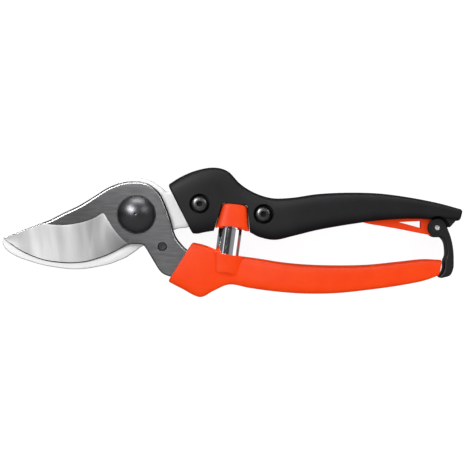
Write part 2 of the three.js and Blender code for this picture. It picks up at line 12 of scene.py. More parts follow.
import bmesh
import bpy
import numpy as np
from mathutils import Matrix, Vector


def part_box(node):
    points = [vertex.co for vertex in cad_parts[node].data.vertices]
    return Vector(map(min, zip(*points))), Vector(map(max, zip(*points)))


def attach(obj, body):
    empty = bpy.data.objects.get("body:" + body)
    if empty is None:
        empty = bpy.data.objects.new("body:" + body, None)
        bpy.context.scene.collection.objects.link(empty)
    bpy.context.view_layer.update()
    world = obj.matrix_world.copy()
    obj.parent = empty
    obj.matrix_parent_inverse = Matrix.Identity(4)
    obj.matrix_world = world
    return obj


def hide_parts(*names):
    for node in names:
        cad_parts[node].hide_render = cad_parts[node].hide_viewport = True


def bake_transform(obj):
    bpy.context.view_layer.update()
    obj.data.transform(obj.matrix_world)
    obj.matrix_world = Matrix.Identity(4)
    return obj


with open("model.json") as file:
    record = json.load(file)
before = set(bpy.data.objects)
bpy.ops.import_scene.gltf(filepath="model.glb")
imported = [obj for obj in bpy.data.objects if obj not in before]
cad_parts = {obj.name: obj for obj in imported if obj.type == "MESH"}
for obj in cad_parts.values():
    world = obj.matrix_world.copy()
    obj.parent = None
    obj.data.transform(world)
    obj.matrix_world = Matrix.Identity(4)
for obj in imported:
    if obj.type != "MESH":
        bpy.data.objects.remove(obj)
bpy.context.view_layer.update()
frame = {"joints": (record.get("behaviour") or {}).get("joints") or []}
MM = 0.001

# %% [markdown]
# The frame already knows where things are, so places are read from it: the pivot and the latch
# pin from the joints, the screws and the blades' heights from their nodes' boxes. Working in
# millimetres keeps the numbers readable; `MM` turns them into metres at the very end.

# %% Places read from the frame
joints = {joint["name"]: joint for joint in frame["joints"]}


def node_box(name):
    """The lowest and highest corner of a CAD node, in millimetres."""
    low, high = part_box(name)
    return np.array(low) / MM, np.array(high) / MM


def node_centre(name):
    """The middle of a CAD node's box, in millimetres."""
    low, high = node_box(name)
    return (low + high) / 2


pivot = np.array(joints["blade_pivot"]["pos_m"]) / MM
latch_pin_place = np.array(joints["latch_pivot"]["pos_m"]) / MM
middle = pivot[2]
blade_rear, blade_front = (corner[2] for corner in node_box("cutting_blade"))
counter_rear, counter_front = (corner[2] for corner in node_box("counter_blade"))
print("pivot", pivot, "latch pin", latch_pin_place)
print("cutting blade from", round(blade_rear, 2), "to", round(blade_front, 2), "mm")

# %% [markdown]
# The camera looks straight down from about 70 cm, as a product photographer would, with the
# middle of the shears in the middle of the view. The lens is set from the width that the view
# has to cover, so the shears fill the frame from edge to edge.

# %% Camera
VIEW_WIDTH = 219.5
CAMERA_HEIGHT = 700.0
camera_data = bpy.data.cameras.new("camera")
camera = bpy.data.objects.new("camera", camera_data)
bpy.context.scene.collection.objects.link(camera)
camera.location = Vector((46.0, -9.7, middle + CAMERA_HEIGHT)) * MM
camera_data.sensor_width = 36.0
camera_data.lens = camera_data.sensor_width * CAMERA_HEIGHT / VIEW_WIDTH
camera_data.clip_start = 0.01
bpy.context.scene.camera = camera
print("lens", round(camera_data.lens, 1), "mm")

# %% [markdown]
# A pack shot has a white light table inside a tent. Two softboxes stand behind the tool, high on
# the left and lower on the right: on the domed bolt they show as one bright and one faint patch.
# A long strip light, low behind the tool, draws a sheen along the upper edges. All three light
# only glossy surfaces, and the tent does the rest, so the table stays clean of hard shadows.
# Polished steel needs something dark to reflect as well: the tent ends above a dark floor line
# all round, and a row of black and white cards hangs over the middle of the table. The table is
# seen by the camera alone, because its glow would wash the dark rims off steel and plastic.

# %% Table, lights and sky
bpy.context.scene.view_settings.view_transform = "Standard"
bpy.context.scene.view_settings.look = "None"


def table(size=4.0):
    """A flat square of white acrylic, lit a little from below, with the shears lying on it."""
    mesh = bpy.data.meshes.new("table")
    half = size / 2
    corners = [(-half, -half, 0), (half, -half, 0), (half, half, 0), (-half, half, 0)]
    mesh.from_pydata(corners, [], [(0, 1, 2, 3)])
    piece = bpy.data.objects.new("table", mesh)
    bpy.context.scene.collection.objects.link(piece)
    material = bpy.data.materials.new("white_table")
    material.use_nodes = True
    shader = material.node_tree.nodes["Principled BSDF"]
    shader.inputs["Base Color"].default_value = (0.20, 0.20, 0.20, 1)
    shader.inputs["Roughness"].default_value = 0.9
    shader.inputs["Specular IOR Level"].default_value = 0.1
    shader.inputs["Emission Color"].default_value = (1, 1, 1, 1)
    shader.inputs["Emission Strength"].default_value = 0.92
    mesh.materials.append(material)
    piece.visible_glossy = False
    piece.visible_diffuse = False
    return piece


def softbox(name, place, size, power, aim=(0.0, 0.0, 0.01)):
    """A rectangular light, turned towards the pivot, that shows only in glossy surfaces."""
    data = bpy.data.lights.new(name, "AREA")
    data.shape = "RECTANGLE"
    data.size, data.size_y = size
    data.energy = power
    lamp = bpy.data.objects.new(name, data)
    bpy.context.scene.collection.objects.link(lamp)
    lamp.location = place
    lamp.rotation_euler = (Vector(aim) - Vector(place)).to_track_quat("-Z", "Y").to_euler()
    lamp.visible_diffuse = False
    return lamp


def grey_ramp(nodes, stops):
    """A ramp of greys: each stop is a place from 0 to 1 and a brightness."""
    ramp = nodes.new("ShaderNodeValToRGB")
    elements = ramp.color_ramp.elements
    while len(elements) < len(stops):
        elements.new(0.5)
    for element, (place, grey) in zip(elements, stops):
        element.position = place
        element.color = (grey, grey, grey * 1.01, 1)
    return ramp


def studio_sky(strength):
    """A light tent over a dark floor line, with a row of cards across it from left to right."""
    world = bpy.data.worlds.new("studio")
    bpy.context.scene.world = world
    world.use_nodes = True
    nodes, links = world.node_tree.nodes, world.node_tree.links
    where = nodes.new("ShaderNodeTexCoord")
    axes = nodes.new("ShaderNodeSeparateXYZ")
    links.new(where.outputs["Generated"], axes.inputs[0])

    def halved(output):
        half = nodes.new("ShaderNodeMapRange")
        half.inputs["From Min"].default_value = -1.0
        links.new(output, half.inputs["Value"])
        return half.outputs["Result"]

    tent = grey_ramp(nodes, [(0.0, 0.15), (0.12, 0.22), (0.30, 0.95), (1.0, 0.90)])
    links.new(axes.outputs["Z"], tent.inputs["Fac"])
    cards = grey_ramp(nodes, [(0.0, 0.10), (0.10, 0.10), (0.12, 0.8), (0.14, 0.8), (0.16, 0.03), (0.55, 0.03),
                              (0.59, 0.19), (0.84, 0.22), (0.87, 0.90), (0.975, 0.90), (0.99, 0.10)])
    links.new(halved(axes.outputs["X"]), cards.inputs["Fac"])
    row = grey_ramp(nodes, [(0.39, 0.0), (0.43, 1.0), (0.58, 1.0), (0.62, 0.0)])
    links.new(halved(axes.outputs["Y"]), row.inputs["Fac"])
    above = grey_ramp(nodes, [(0.0, 0.0), (0.03, 1.0)])
    links.new(axes.outputs["Z"], above.inputs["Fac"])
    both = nodes.new("ShaderNodeMath")
    both.operation = "MULTIPLY"
    links.new(row.outputs["Color"], both.inputs[0])
    links.new(above.outputs["Color"], both.inputs[1])
    mix = nodes.new("ShaderNodeMixRGB")
    links.new(both.outputs[0], mix.inputs["Fac"])
    links.new(tent.outputs["Color"], mix.inputs["Color1"])
    links.new(cards.outputs["Color"], mix.inputs["Color2"])
    background = nodes["Background"]
    background.inputs["Strength"].default_value = strength
    links.new(mix.outputs["Color"], background.inputs["Color"])
    return world


table()
studio_sky(1.35)
softbox("key_left", (-0.46, 0.43, 0.90), (0.36, 0.62), 41.0)
softbox("key_right", (0.70, 0.42, 0.78), (0.28, 0.46), 5.0)
softbox("strip_behind", (0.05, 0.95, 0.42), (0.90, 0.22), 18.0)

# %% [markdown]
# Every metal, plastic and rubber here is one Principled shader with procedural wear. The helper
# makes the skeleton: a base colour that wanders between two tones along a stretched noise, a
# roughness that follows another, and a bump for the grain. Object coordinates are in metres, so
# scales are given in features per metre: 2000 means half a millimetre.

# %% Material helper
def stretched_noise(tree, stretch, detail=3.0, roughness=0.55, turn=0.0):
    """A noise whose features are 1/stretch metres long on each axis, turned about Z."""
    where = tree.nodes.new("ShaderNodeTexCoord")
    mapping = tree.nodes.new("ShaderNodeMapping")
    noise = tree.nodes.new("ShaderNodeTexNoise")
    mapping.vector_type = "TEXTURE"
    mapping.inputs["Rotation"].default_value = (0, 0, turn)
    mapping.inputs["Scale"].default_value = [1 / value for value in stretch]
    noise.inputs["Scale"].default_value = 1.0
    noise.inputs["Detail"].default_value = detail
    noise.inputs["Roughness"].default_value = roughness
    tree.links.new(where.outputs["Object"], mapping.inputs["Vector"])
    tree.links.new(mapping.outputs["Vector"], noise.inputs["Vector"])
    return noise.outputs["Fac"]


def ramp_between(tree, factor, low, high, start=0.3, end=0.7):
    """A colour ramp from low to high between two places on the factor."""
    ramp = tree.nodes.new("ShaderNodeValToRGB")
    ramp.color_ramp.elements[0].position, ramp.color_ramp.elements[0].color = start, (*low, 1)
    ramp.color_ramp.elements[1].position, ramp.color_ramp.elements[1].color = end, (*high, 1)
    tree.links.new(factor, ramp.inputs["Fac"])
    return ramp.outputs["Color"]


def finish(name, dark, light, tone, rough, rough_grain, bump_grain, bump, metallic=0.0, **sockets):
    """A finished surface: colour from dark to light along `tone`, roughness (low, high) along
    `rough_grain`, and a bump of `bump` micrometres along `bump_grain`. The three grains are the
    keyword arguments of stretched_noise."""
    material = bpy.data.materials.new(name)
    material.use_nodes = True
    tree = material.node_tree
    shader = tree.nodes["Principled BSDF"]
    shader.inputs["Metallic"].default_value = metallic
    for socket, value in sockets.items():
        shader.inputs[socket.replace("_", " ")].default_value = value
    colour = ramp_between(tree, stretched_noise(tree, **tone), dark, light)
    tree.links.new(colour, shader.inputs["Base Color"])
    spread = tree.nodes.new("ShaderNodeMapRange")
    spread.inputs["From Min"].default_value, spread.inputs["From Max"].default_value = 0.3, 0.7
    spread.inputs["To Min"].default_value, spread.inputs["To Max"].default_value = rough
    tree.links.new(stretched_noise(tree, **rough_grain), spread.inputs["Value"])
    tree.links.new(spread.outputs["Result"], shader.inputs["Roughness"])
    relief = tree.nodes.new("ShaderNodeBump")
    relief.inputs["Strength"].default_value = 1.0
    relief.inputs["Distance"].default_value = bump * 1e-6
    tree.links.new(stretched_noise(tree, **bump_grain), relief.inputs["Height"])
    tree.links.new(relief.outputs["Normal"], shader.inputs["Normal"])
    return material


# %% [markdown]
# Steel has four faces on this tool. The cutting blade's flat is brushed along its length and
# darkened, and painted shade darkens its colour further towards the tip. Its bevel is freshly
# ground: bright, with faint bands across the edge where the wheel passed, and painted shade
# darkens it towards the pivot. The counter-blade is bead-blasted and plated, so it is pale and
# nearly matt; painted shade dims it a little towards the tip, and its broken edges take a darker
# copy of the plating as painted shade. The bolt and the screws are blackened, and the spring is chromed.

# %% Steel finishes
def painted_shade_along(material, start, end, share):
    """Painted shade: dims a finish's colour from full at x = start to `share` of it at x = end, in
    millimetres.
    """
    tree = material.node_tree
    shader = tree.nodes["Principled BSDF"]
    where = tree.nodes.new("ShaderNodeTexCoord")
    axes = tree.nodes.new("ShaderNodeSeparateXYZ")
    fade = tree.nodes.new("ShaderNodeMapRange")
    fade.inputs["From Min"].default_value, fade.inputs["From Max"].default_value = start * MM, end * MM
    fade.inputs["To Min"].default_value, fade.inputs["To Max"].default_value = 1.0, share
    dim = tree.nodes.new("ShaderNodeMixRGB")
    dim.blend_type = "MULTIPLY"
    dim.inputs["Fac"].default_value = 1.0
    tree.links.new(where.outputs["Object"], axes.inputs[0])
    tree.links.new(axes.outputs["X"], fade.inputs["Value"])
    tree.links.new(shader.inputs["Base Color"].links[0].from_socket, dim.inputs["Color1"])
    tree.links.new(fade.outputs["Result"], dim.inputs["Color2"])
    tree.links.new(dim.outputs["Color"], shader.inputs["Base Color"])


cloud = dict(stretch=(160, 160, 160))
speck = dict(stretch=(2600, 2600, 2600), detail=2.0)
brushed = dict(stretch=(180, 2600, 2600), detail=3.0)
blade_flat = finish("darkened_steel_painted_shade", (0.074, 0.074, 0.076), (0.088, 0.088, 0.090), brushed,
                    (0.29, 0.34), brushed, brushed, 0.5, metallic=1.0)
# painted shade: the flat's colour falls to 0.4 of itself from x = 14 to x = -26 mm, towards the tip
painted_shade_along(blade_flat, 14.0, -26.0, 0.40)
blade_wall = finish("blackened_wall", (0.06, 0.06, 0.062), (0.11, 0.11, 0.112), cloud,
                    (0.30, 0.40), cloud, speck, 2.0, metallic=1.0)
across_edge = dict(stretch=(150, 22, 22), detail=2.5, roughness=0.45, turn=0.12)
fine_across = dict(stretch=(3800, 130, 130), detail=2.0, turn=0.12)
blade_bevel = finish("ground_bevel", (0.34, 0.34, 0.34), (0.42, 0.42, 0.42), across_edge,
                     (0.34, 0.42), across_edge, fine_across, 0.7, metallic=1.0)
# painted shade: the bevel's colour falls to half from x = -32 to x = -18 mm, towards the pivot
painted_shade_along(blade_bevel, -32.0, -18.0, 0.50)
blade_chamfer = finish("polished_chamfer", (0.17, 0.17, 0.17), (0.24, 0.24, 0.24), cloud,
                       (0.22, 0.30), cloud, speck, 1.0, metallic=1.0)
along_edge = dict(stretch=(90, 1500, 1500), detail=4.0)
counter_finish = finish("pale_plated_steel", (0.60, 0.60, 0.60), (0.75, 0.75, 0.745), speck,
                        (0.45, 0.58), along_edge, speck, 6.0, metallic=0.12)
# painted shade: the counter-blade's colour falls to 0.8 from x = 12 to x = -20 mm, towards the tip
painted_shade_along(counter_finish, 12.0, -20.0, 0.80)
# painted shade: the broken edges take a darker copy of the plating
counter_edge_painted_shade = finish("plated_edge_painted_shade", (0.20, 0.20, 0.20), (0.34, 0.34, 0.34), speck,
                      (0.35, 0.45), along_edge, speck, 3.0, metallic=0.8)
screw_black = finish("oiled_black_screw", (0.023, 0.023, 0.023), (0.052, 0.051, 0.050), speck,
                     (0.26, 0.36), speck, speck, 2.0, metallic=1.0)
# painted shade: the screw sockets' walls and floor are nearly black
socket_painted_shade = finish("socket_floor_painted_shade", (0.006, 0.006, 0.006), (0.012, 0.012, 0.012), speck,
                      (0.6, 0.7), speck, speck, 2.0, Specular_IOR_Level=0.05)
mottled = dict(stretch=(900, 900, 900), detail=3.0)
zinc = finish("zinc_plate", (0.22, 0.22, 0.225), (0.48, 0.48, 0.48), mottled,
              (0.28, 0.40), speck, speck, 3.0, metallic=1.0)
chrome = finish("chromed_strip", (0.86, 0.87, 0.88), (0.92, 0.92, 0.93), cloud,
                (0.05, 0.09), cloud, along_edge, 0.05, metallic=1.0)


def lathe_marks(material, x, y, per_metre, depth):
    """Adds the fine rings a lathe leaves, as a bump round the upright axis through (x, y)."""
    tree = material.node_tree
    shader = tree.nodes["Principled BSDF"]
    where = tree.nodes.new("ShaderNodeTexCoord")
    mapping = tree.nodes.new("ShaderNodeMapping")
    mapping.inputs["Location"].default_value = (-x * MM, -y * MM, 0)
    rings = tree.nodes.new("ShaderNodeTexWave")
    rings.wave_type = "RINGS"
    rings.rings_direction = "Z"
    rings.inputs["Scale"].default_value = per_metre
    rings.inputs["Distortion"].default_value = 0.4
    relief = tree.nodes.new("ShaderNodeBump")
    relief.inputs["Distance"].default_value = depth * 1e-6
    tree.links.new(where.outputs["Object"], mapping.inputs["Vector"])
    tree.links.new(mapping.outputs["Vector"], rings.inputs["Vector"])
    tree.links.new(rings.outputs["Fac"], relief.inputs["Height"])
    tree.links.new(shader.inputs["Normal"].links[0].from_socket, relief.inputs["Normal"])
    tree.links.new(relief.outputs["Normal"], shader.inputs["Normal"])


dome_black = finish("turned_black_oxide", (0.022, 0.022, 0.023), (0.034, 0.034, 0.036), speck,
                    (0.30, 0.36), cloud, speck, 2.0, metallic=1.0)
lathe_marks(dome_black, pivot[0], pivot[1], 420, 5.0)

# %% [markdown]
# The handles are two mouldings. The orange nylon is smooth with a soft gloss and a very fine
# spark-eroded grain. The black cover is a thermoplastic rubber, matt, with a slightly coarser
# grain; the latch is a hard black plastic between the two.

# %% Moulded finishes
moulded = dict(stretch=(120, 120, 120), detail=2.0)
spark_grain = dict(stretch=(3400, 3400, 3400), detail=2.0)
orange = finish("orange_nylon", (0.95, 0.053, 0.0028), (0.98, 0.066, 0.0042), moulded,
                (0.40, 0.50), spark_grain, spark_grain, 5.0, IOR=1.5, Specular_IOR_Level=0.06)
rubber_grain = dict(stretch=(2400, 2400, 2400), detail=3.0)
black_rubber = finish("black_rubber", (0.0032, 0.0032, 0.0040), (0.0058, 0.0058, 0.0070), moulded,
                      (0.50, 0.62), rubber_grain, rubber_grain, 10.0, IOR=1.45,
                      Specular_IOR_Level=0.09)
black_nylon = finish("black_nylon", (0.0036, 0.0037, 0.0043), (0.0060, 0.0063, 0.0075), moulded,
                     (0.40, 0.50), spark_grain, spark_grain, 5.0, IOR=1.5,
                     Specular_IOR_Level=0.11)
print("finishes:", [m.name for m in bpy.data.materials])

# %% [markdown]
# A rail is a smooth curve through a few points. The centripetal kind is used, because it does
# not overshoot where points are unevenly spaced, as they are round a hub.

# %% Rails
def rail(points, t):
    """Smooth curve through the points at shares t of its spans. On each span it is the cubic
    with the right ends and with slopes set by the square roots of the neighbouring distances."""
    p = np.asarray(points, float)
    p = np.vstack([2 * p[0] - p[1], p, 2 * p[-1] - p[-2]])
    spans = len(p) - 3
    place = np.clip(t, 0, 1) * spans
    i = np.minimum(place.astype(int), spans - 1)
    f = (place - i)[:, None]
    a, b, c, d = p[i], p[i + 1], p[i + 2], p[i + 3]
    before, along, after = (np.maximum(np.linalg.norm(q - o, axis=1), 1e-6)[:, None] ** 0.5
                            for o, q in ((a, b), (b, c), (c, d)))
    leave = ((b - a) / before - (c - a) / (before + along) + (c - b) / along) * along
    arrive = ((c - b) / along - (d - b) / (along + after) + (d - c) / after) * along
    return (b * (2 * f**3 - 3 * f**2 + 1) + leave * (f**3 - 2 * f**2 + f)
            + c * (3 * f**2 - 2 * f**3) + arrive * (f**3 - f**2))


# %% [markdown]
# Rows of points become a mesh: neighbouring rows are joined by quads, the first and last row
# are closed by a fan round their middle, and points that fall together are merged, so poles and
# places where a strip narrows to nothing leave no stray faces. The sign of the enclosed volume
# says whether the skin is inside out, and turns it if so.

# %% From rows of points to a mesh
def skin(name, rows, body, materials, finish_map=0, sharp=30.0, node=None):
    """A closed skin over rows of points, an array of rows x points x 3 in millimetres.
    finish_map is the number of the material on each quad: one number, one for each strip along
    the rows, one for each band from row to row (as a column), or both."""
    rows = np.asarray(rows, float)
    count, width = rows.shape[:2]
    points = np.vstack([rows.reshape(-1, 3), rows[0].mean(0), rows[-1].mean(0)])
    i, j = np.meshgrid(np.arange(count - 1), np.arange(width), indexing="ij")
    a = (i * width + j).ravel()
    b = (i * width + (j + 1) % width).ravel()
    quads = np.column_stack([a, b, b + width, a + width])
    ring = np.arange(width)
    after = (ring + 1) % width
    first = np.column_stack([after, ring, np.full(width, count * width)])
    far = (count - 1) * width
    last = np.column_stack([far + ring, far + after, np.full(width, count * width + 1)])
    mesh = bpy.data.meshes.new(name)
    mesh.from_pydata((points * MM).tolist(), [], quads.tolist() + first.tolist() + last.tolist())
    numbers = np.broadcast_to(finish_map, (count - 1, width))
    numbers = np.concatenate([numbers.ravel(), numbers[0], numbers[-1]])
    mesh.polygons.foreach_set("material_index", numbers.astype(np.int32))
    return settle(name, mesh, body, materials, sharp, node)


def settle(name, mesh, body, materials, sharp, node):
    """Cleans a mesh, turns it the right way out, and puts it on its body in place of a CAD node."""
    work = bmesh.new()
    work.from_mesh(mesh)
    bmesh.ops.remove_doubles(work, verts=work.verts, dist=2e-6)
    bmesh.ops.dissolve_degenerate(work, edges=work.edges, dist=1e-6)
    if work.calc_volume(signed=True) < 0:
        bmesh.ops.reverse_faces(work, faces=work.faces)
    loose = [vert for vert in work.verts if not vert.link_faces]
    bmesh.ops.delete(work, geom=loose, context="VERTS")
    open_edges = sum(1 for edge in work.edges if len(edge.link_faces) != 2)
    work.to_mesh(mesh)
    work.free()
    mesh.shade_smooth()
    mesh.set_sharp_from_angle(angle=math.radians(sharp))
    for material in materials:
        mesh.materials.append(material)
    piece = bpy.data.objects.new(name, mesh)
    bpy.context.scene.collection.objects.link(piece)
    if body:
        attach(piece, body)
    if node:
        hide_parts(node)
    print(f"{name}: {len(mesh.polygons)} faces, {open_edges} open edges")
    return piece


# %% [markdown]
# ## Turned pieces
# The bolt, its washers, the pins and the screw heads were all made on a lathe, so they are
# profiles turned about an upright axis. A hexagon is the same thing with a radius that depends
# on the angle, which is how the nuts and the screws' sockets are made.

# %% Turning
def hexagon(angle, flats):
    """Distance from the middle to the side of a hexagon, at each angle."""
    return flats / 2 / np.cos((angle + np.pi / 6) % (np.pi / 3) - np.pi / 6)


def turned(profile, x, y, count=96, hexagons=()):
    """Rows of a profile of [radius, height] turned about the upright axis through (x, y). The
    rows named in hexagons are hexagons whose radius is half the distance across flats."""
    angle = np.linspace(0, 2 * np.pi, count, endpoint=False)
    rows = []
    for i, (radius, height) in enumerate(profile):
        reach = hexagon(angle, 2 * radius) if i in hexagons else np.full(count, radius)
        level = np.full(count, height)
        rows.append(np.column_stack([x + reach * np.cos(angle), y + reach * np.sin(angle), level]))
    return np.array(rows)


def arc(centre_radius, centre_height, radius, start, end, steps=6):
    """Points of a rounded edge in a profile, from one angle in degrees to another."""
    angle = np.radians(np.linspace(start, end, steps))
    return [[centre_radius + radius * c, centre_height + radius * s]
            for c, s in zip(np.cos(angle), np.sin(angle))]


# %% [markdown]
# Holes, seats and windows are cut from a finished body with cutters, as they would be by cores
# in a mould. A cutter is a skin of its own that is used once and thrown away. A cut surface
# takes the body's first finish unless the cutter brings its own.

# %% Cutting and joining
def carve(piece, cutters, how="DIFFERENCE", sharp=30.0):
    """Cuts or joins each cutter into the piece, exactly, then removes the cutters."""
    for cutter in cutters:
        step = piece.modifiers.new("carve", "BOOLEAN")
        step.operation = how
        step.solver = "MANIFOLD"
        step.object = cutter
        bpy.context.view_layer.update()
        view = bpy.context.evaluated_depsgraph_get()
        solid = bpy.data.meshes.new_from_object(piece.evaluated_get(view))
        piece.modifiers.clear()
        old = piece.data
        piece.data = solid
        bpy.data.meshes.remove(old)
        bpy.data.objects.remove(cutter)
    piece.data.shade_smooth()
    piece.data.set_sharp_from_angle(angle=math.radians(sharp))
    return piece


def cutter(rows):
    """A closed skin that rides no body, to be used up by carve."""
    return skin("cutter", rows, None, [])


def boxed(angle, roundness):
    """Cosines and sines softened towards a square: a roundness of 1 keeps a circle."""
    cosine, sine = np.cos(angle), np.sin(angle)
    return np.sign(cosine) * np.abs(cosine) ** roundness, np.sign(sine) * np.abs(sine) ** roundness


def tapered(start, end, start_size, end_size, around=96, steps=2, round_start=0.0, roundness=1.0):
    """Rows of an oval or squarish body between two points in the plan: `start_size` and
    `end_size` are half its width in the plan and half its height. The start can be rounded by a
    quarter circle of radius round_start."""
    start, end = np.asarray(start, float), np.asarray(end, float)
    length = np.linalg.norm(end - start)
    side = np.array([start[1] - end[1], end[0] - start[0]]) / length
    share = np.linspace(0, 1, steps)
    shrink = np.zeros(steps)
    if round_start:
        bend = np.linspace(0, np.pi / 2, 8)
        share = np.concatenate([round_start * (1 - np.cos(bend)) / length, share[1:]])
        shrink = np.concatenate([round_start * (1 - np.sin(bend)), shrink[1:]])
    across, height = boxed(np.linspace(0, 2 * np.pi, around, endpoint=False), roundness)
    wide = (start_size[0] + (end_size[0] - start_size[0]) * share - shrink)[:, None]
    high = (start_size[1] + (end_size[1] - start_size[1]) * share - shrink)[:, None]
    centre = start + (end - start) * share[:, None]
    plan = centre[:, None, :] + side * (wide * across)[..., None]
    return np.concatenate([plan, (middle + high * height)[..., None]], axis=2)


def prism(points, low, high):
    """Rows of an upright prism over a plan outline."""
    plan = np.asarray(points, float)
    return np.array([np.column_stack([plan, np.full(len(plan), height)]) for height in (low, high)])


def drilled(x, y, radius, low, high, edge=0.0):
    """A cutter for a round hole, with its upper rim opened by `edge`."""
    profile = [[0, low], [radius, low], [radius, high - edge], [radius + edge, high],
               [radius + edge, high + 2], [0, high + 2]]
    return cutter(turned(profile, x, y, 72))


# %% [markdown]
# ## The cutting blade
# The real blade is forged, blanked and then ground: a flat plate whose spine has a rounded
# chamfer and whose cutting side is ground away to a long bevel. The bevel starts at the spine
# near the tip, leaves it in a shallow curve, and stops in front of the hub where the wheel was
# lifted. Three rails say all of that: the spine, the bevel line and the edge. A section is
# carried along them, with more or less steel left under each rail.

# %% Blade rails
# Each station: spine x y, bevel line x y, edge x y, steel under the line, steel under the edge.
BLADE = blade_front - blade_rear
EDGE = 0.3
HEEL = BLADE - 0.55
blade_stations = np.array([
    [-62.0, -11.1, -62.0, -11.25, -61.9, -11.5, 0.9, EDGE],
    [-57.3, -9.3, -57.2, -9.6, -58.0, -14.5, 1.6, EDGE],
    [-52.6, -7.4, -52.4, -7.8, -53.5, -17.4, 2.2, EDGE],
    [-48.9, -6.0, -48.2, -6.3, -49.2, -19.4, 2.8, EDGE],
    [-44.8, -4.4, -43.4, -4.6, -44.5, -21.1, BLADE, EDGE],
    [-40.4, -2.7, -39.0, -4.9, -40.0, -22.1, BLADE, EDGE],
    [-33.5, 0.8, -32.0, -5.0, -33.0, -22.8, BLADE, EDGE],
    [-26.4, 4.2, -24.0, -3.5, -26.0, -22.6, BLADE, EDGE],
    [-19.4, 8.4, -19.0, -1.6, -21.0, -21.6, BLADE, EDGE + 0.15],
    [-14.8, 11.4, -15.3, 0.3, -16.8, -20.3, BLADE, EDGE + 0.3],
    [-11.0, 13.3, -13.2, -2.7, -13.4, -19.0, BLADE, EDGE + 0.4],
    [-6.5, 14.8, -10.4, -7.0, -10.6, -17.7, BLADE, EDGE + 0.5],
    [-2.0, 15.4, -6.9, -11.2, -8.2, -16.5, BLADE, EDGE + 0.5],
    [3.0, 15.1, -4.4, -13.3, -6.2, -15.5, BLADE, EDGE + 0.5],
    [5.6, 14.2, -3.4, -13.6, -3.8, -14.4, BLADE, EDGE + 0.3],
    [7.4, 13.1, -2.7, -13.4, -2.9, -14.0, BLADE, HEEL],
    [10.6, 10.2, 1.2, -13.4, 1.4, -14.0, BLADE, HEEL],
    [12.6, 6.6, 3.8, -14.0, 3.3, -14.4, BLADE, HEEL],
    [14.4, 2.2, 5.3, -16.0, 4.8, -16.3, BLADE, HEEL],
    [16.0, -2.2, 6.7, -18.3, 6.2, -18.6, BLADE, HEEL],
    [17.4, -7.6, 8.9, -22.0, 8.4, -22.3, BLADE, HEEL],
    [19.2, -11.6, 11.2, -25.7, 10.8, -26.1, BLADE, HEEL],
    [23.0, -15.9, 13.5, -27.6, 13.2, -28.1, BLADE, HEEL],
    [25.5, -17.4, 16.7, -28.6, 16.5, -29.2, BLADE, HEEL],
    [29.0, -18.4, 28.0, -31.0, 28.0, -31.6, BLADE, HEEL],
    [34.6, -27.6, 35.5, -30.8, 35.5, -31.4, BLADE, HEEL],
    [60.0, -27.4, 60.0, -30.6, 60.0, -31.2, BLADE, HEEL],
])


# %% [markdown]
# The blade's section goes once round: down the chamfered spine, across the flat, down the bevel
# and home along the flat back. The chamfer's inner corner is rounded, which is the thin bright
# line that any steel edge shows. A shallow hollow in the bevel is what a grinding wheel leaves.

